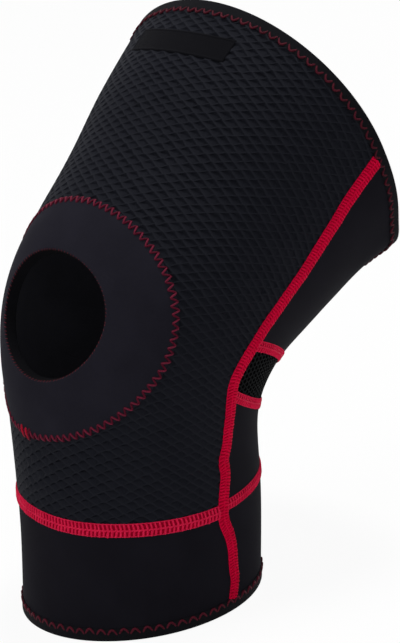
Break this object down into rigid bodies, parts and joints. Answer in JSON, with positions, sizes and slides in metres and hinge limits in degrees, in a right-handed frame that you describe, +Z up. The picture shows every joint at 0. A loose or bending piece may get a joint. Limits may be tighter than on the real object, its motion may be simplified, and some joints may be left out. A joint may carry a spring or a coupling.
{
  "type": "knee brace",
  "caption": "Pull-on knee brace: a bent foam-rubber sleeve with an open kneecap, a pad ring round it, a mesh knee back, red flatlock seams and bound hems.",
  "frame": {"origin": "middle of the bottom opening, where the leg's axis crosses the plane that the bottom hem stands on", "axes": "+Z up from the hem along the shin, -Y out of the kneecap opening, +X out of the outer side"},
  "size_m": [0.1598, 0.201, 0.2622],
  "materials": {
    "textured_neoprene": "black foam rubber with a knit face embossed in small scales",
    "plain_neoprene": "black foam rubber with a smooth knit face",
    "pad_neoprene": "matt charcoal foam rubber with a smooth knit face",
    "mesh_fabric": "black open knit",
    "binding_tape": "smooth black stretch tape",
    "label_fabric": "matt black patch with a raised border",
    "flatlock_thread": "red flatlock thread",
    "zigzag_thread": "red zigzag thread",
    "hem_thread": "dark red zigzag thread"
  },
  "bodies": {
    "root": {"front_panel": "textured_neoprene", "patella_pad": "pad_neoprene", "front_cuff": "plain_neoprene", "back_cuff": "plain_neoprene", "back_calf_panel": "plain_neoprene", "back_thigh_panel": "plain_neoprene", "knee_back_mesh": "mesh_fabric", "top_binding": "binding_tape", "bottom_binding": "binding_tape", "label_patch": "label_fabric", "side_seam_outer": "flatlock_thread", "side_seam_inner": "flatlock_thread", "front_cross_seam": "flatlock_thread", "back_cross_seam": "flatlock_thread", "mesh_top_seam": "flatlock_thread", "mesh_bottom_seam": "flatlock_thread", "pad_edge_stitch": "zigzag_thread", "pad_bartack": "zigzag_thread", "top_hem_stitch": "hem_thread", "bottom_hem_stitch": "hem_thread", "opening_edge_stitch": "hem_thread"}
  },
  "joints": []
}
